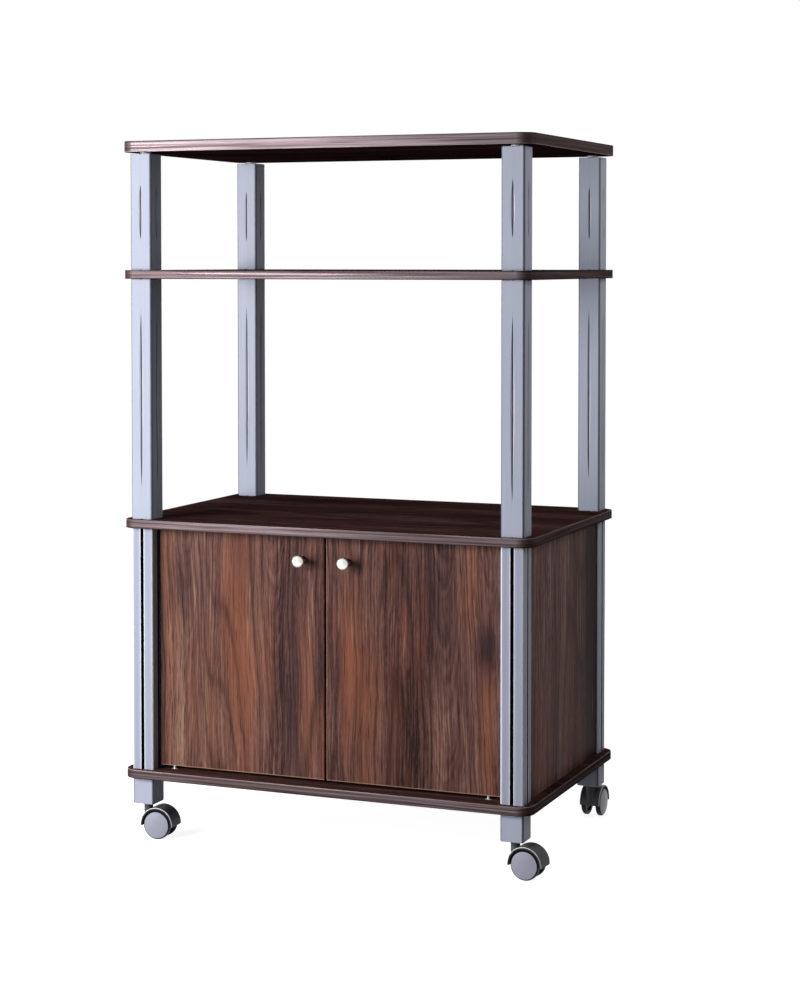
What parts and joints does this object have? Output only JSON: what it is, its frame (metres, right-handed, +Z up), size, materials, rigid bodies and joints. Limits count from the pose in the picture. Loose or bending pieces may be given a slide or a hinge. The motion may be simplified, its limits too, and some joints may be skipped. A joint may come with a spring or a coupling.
{
  "type": "microwave cart",
  "caption": "Rolling microwave cart: rounded wood shelves on square grooved posts over a cabinet with hinged doors and round knobs, on swivelling twin-wheel casters.",
  "frame": {"origin": "on the floor, midway between the four caster stems, which is also below the middle of the boards", "axes": "+X to the right along the front, +Y towards the back (the doors face -Y), +Z up"},
  "size_m": [0.632, 0.4002, 0.972],
  "materials": {
    "walnut_board": "satin walnut foil, faint reflections",
    "walnut_panel": "matt walnut foil, upright grain with reddish streaks",
    "edge_band": "satin, fine lengthwise streaks",
    "silver_post": "silver-grey, fine lengthwise brushing",
    "connector_grey": "glossy",
    "back_board": "matt thin fibre board",
    "nickel": "satin nickel",
    "steel": "zinc plated",
    "black_plastic": "semi-gloss moulded",
    "wheel": "black tread, grey cover disc",
    "pale_plastic": "natural",
    "beech": "raw"
  },
  "bodies": {
    "root": {"top_shelf": "walnut_board", "middle_shelf": "walnut_board", "cabinet_top": "walnut_board", "cabinet_floor": "walnut_board", "edge_bands": "edge_band", "upper_post_fl": "silver_post", "upper_post_fr": "silver_post", "upper_post_bl": "silver_post", "upper_post_br": "silver_post", "middle_post_fl": "silver_post", "middle_post_fr": "silver_post", "middle_post_bl": "silver_post", "middle_post_br": "silver_post", "cabinet_post_fl": "silver_post", "cabinet_post_fr": "silver_post", "cabinet_post_bl": "silver_post", "cabinet_post_br": "silver_post", "foot_fl": "silver_post", "foot_fr": "silver_post", "foot_bl": "silver_post", "foot_br": "silver_post", "joint_studs": "steel", "top_connectors": "connector_grey", "caster_sockets": "steel", "left_side_panel": "walnut_panel", "right_side_panel": "walnut_panel", "back_panel": "back_board", "panel_dowels": "beech", "hinge_bushes": "pale_plastic", "magnetic_catch": "black_plastic"},
    "left_door": {"left_door": "walnut_panel", "left_knob": "nickel", "left_knob_screw": "steel", "left_hinge_pins": "steel", "left_strike_plate": "steel"},
    "right_door": {"right_door": "walnut_panel", "right_knob": "nickel", "right_knob_screw": "steel", "right_hinge_pins": "steel", "right_strike_plate": "steel"},
    "caster_fl": {"caster_hood_fl": "black_plastic", "caster_stem_fl": "steel", "caster_axle_fl": "steel"},
    "wheel_fl_left": {"wheel_fl_left": "wheel"},
    "wheel_fl_right": {"wheel_fl_right": "wheel"},
    "caster_fr": {"caster_hood_fr": "black_plastic", "caster_stem_fr": "steel", "caster_axle_fr": "steel"},
    "wheel_fr_left": {"wheel_fr_left": "wheel"},
    "wheel_fr_right": {"wheel_fr_right": "wheel"},
    "caster_bl": {"caster_hood_bl": "black_plastic", "caster_stem_bl": "steel", "caster_axle_bl": "steel"},
    "wheel_bl_left": {"wheel_bl_left": "wheel"},
    "wheel_bl_right": {"wheel_bl_right": "wheel"},
    "caster_br": {"caster_hood_br": "black_plastic", "caster_stem_br": "steel", "caster_axle_br": "steel"},
    "wheel_br_left": {"wheel_br_left": "wheel"},
    "wheel_br_right": {"wheel_br_right": "wheel"}
  },
  "joints": [
    {"name": "left_door_hinge", "type": "hinge", "parent": "root", "child": "left_door", "pos_m": [-0.23275, -0.16125, 0.098], "axis": [0, 0, -1], "range_deg": [0, 110]},
    {"name": "right_door_hinge", "type": "hinge", "parent": "root", "child": "right_door", "pos_m": [0.23275, -0.16125, 0.098], "axis": [0, 0, 1], "range_deg": [0, 110]},
    {"name": "swivel_fl", "type": "hinge", "parent": "root", "child": "caster_fl", "pos_m": [-0.272, -0.166, 0.049], "axis": [0, 0, 1], "continuous": true},
    {"name": "spin_fl_left", "type": "hinge", "parent": "caster_fl", "child": "wheel_fl_left", "pos_m": [-0.25351, -0.16535, 0.02], "axis": [-0.0349, 0.9994, 0], "continuous": true},
    {"name": "spin_fl_right", "type": "hinge", "parent": "caster_fl", "child": "wheel_fl_right", "pos_m": [-0.25351, -0.16535, 0.02], "axis": [-0.0349, 0.9994, 0], "continuous": true},
    {"name": "swivel_fr", "type": "hinge", "parent": "root", "child": "caster_fr", "pos_m": [0.272, -0.166, 0.049], "axis": [0, 0, 1], "continuous": true},
    {"name": "spin_fr_left", "type": "hinge", "parent": "caster_fr", "child": "wheel_fr_left", "pos_m": [0.29043, -0.16761, 0.02], "axis": [0.0872, 0.9962, 0], "continuous": true},
    {"name": "spin_fr_right", "type": "hinge", "parent": "caster_fr", "child": "wheel_fr_right", "pos_m": [0.29043, -0.16761, 0.02], "axis": [0.0872, 0.9962, 0], "continuous": true},
    {"name": "swivel_bl", "type": "hinge", "parent": "root", "child": "caster_bl", "pos_m": [-0.272, 0.166, 0.049], "axis": [0, 0, 1], "continuous": true},
    {"name": "spin_bl_left", "type": "hinge", "parent": "caster_bl", "child": "wheel_bl_left", "pos_m": [-0.29043, 0.16761, 0.02], "axis": [-0.0872, -0.9962, 0], "continuous": true},
    {"name": "spin_bl_right", "type": "hinge", "parent": "caster_bl", "child": "wheel_bl_right", "pos_m": [-0.29043, 0.16761, 0.02], "axis": [-0.0872, -0.9962, 0], "continuous": true},
    {"name": "swivel_br", "type": "hinge", "parent": "root", "child": "caster_br", "pos_m": [0.272, 0.166, 0.049], "axis": [0, 0, 1], "continuous": true},
    {"name": "spin_br_left", "type": "hinge", "parent": "caster_br", "child": "wheel_br_left", "pos_m": [0.27232, 0.1845, 0.02], "axis": [-0.9998, 0.0175, 0], "continuous": true},
    {"name": "spin_br_right", "type": "hinge", "parent": "caster_br", "child": "wheel_br_right", "pos_m": [0.27232, 0.1845, 0.02], "axis": [-0.9998, 0.0175, 0], "continuous": true}
  ]
}
